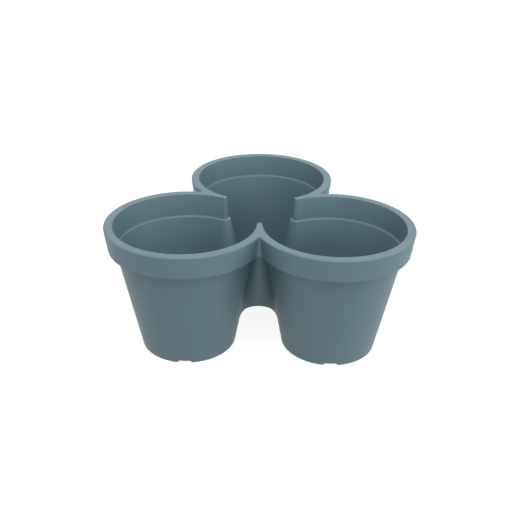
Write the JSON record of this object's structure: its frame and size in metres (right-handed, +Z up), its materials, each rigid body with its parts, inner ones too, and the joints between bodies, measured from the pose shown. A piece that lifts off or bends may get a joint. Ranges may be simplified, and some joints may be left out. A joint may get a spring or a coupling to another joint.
{
  "type": "trio herb planter",
  "caption": "Round herb pots joined as a trefoil around a shared open middle, with stepped rims, noses between the pots, an arched bridge underneath and lift-out drain plugs.",
  "frame": {"origin": "middle of the planter's length and width, on the plane that its feet stand on", "axes": "+X along the two front pots, which is the longest side; +Y towards the rear pot; +Z up through the mouths"},
  "size_m": [0.2882, 0.2696, 0.127],
  "materials": {
    "pot_plastic": "fine matt moulded texture, blue-grey",
    "plug_rubber": "soft matt, dark grey"
  },
  "bodies": {
    "planter": {"trio_pot": "pot_plastic"},
    "rear_plug": {"rear_drain_plug": "plug_rubber"},
    "front_left_plug": {"front_left_drain_plug": "plug_rubber"},
    "front_right_plug": {"front_right_drain_plug": "plug_rubber"}
  },
  "joints": [
    {"name": "rear_plug_lift", "type": "slide", "parent": "planter", "child": "rear_plug", "axis": [0, 0, 1], "range_m": [0, 0.13]},
    {"name": "front_left_plug_lift", "type": "slide", "parent": "planter", "child": "front_left_plug", "axis": [0, 0, 1], "range_m": [0, 0.13]},
    {"name": "front_right_plug_lift", "type": "slide", "parent": "planter", "child": "front_right_plug", "axis": [0, 0, 1], "range_m": [0, 0.13]}
  ]
}
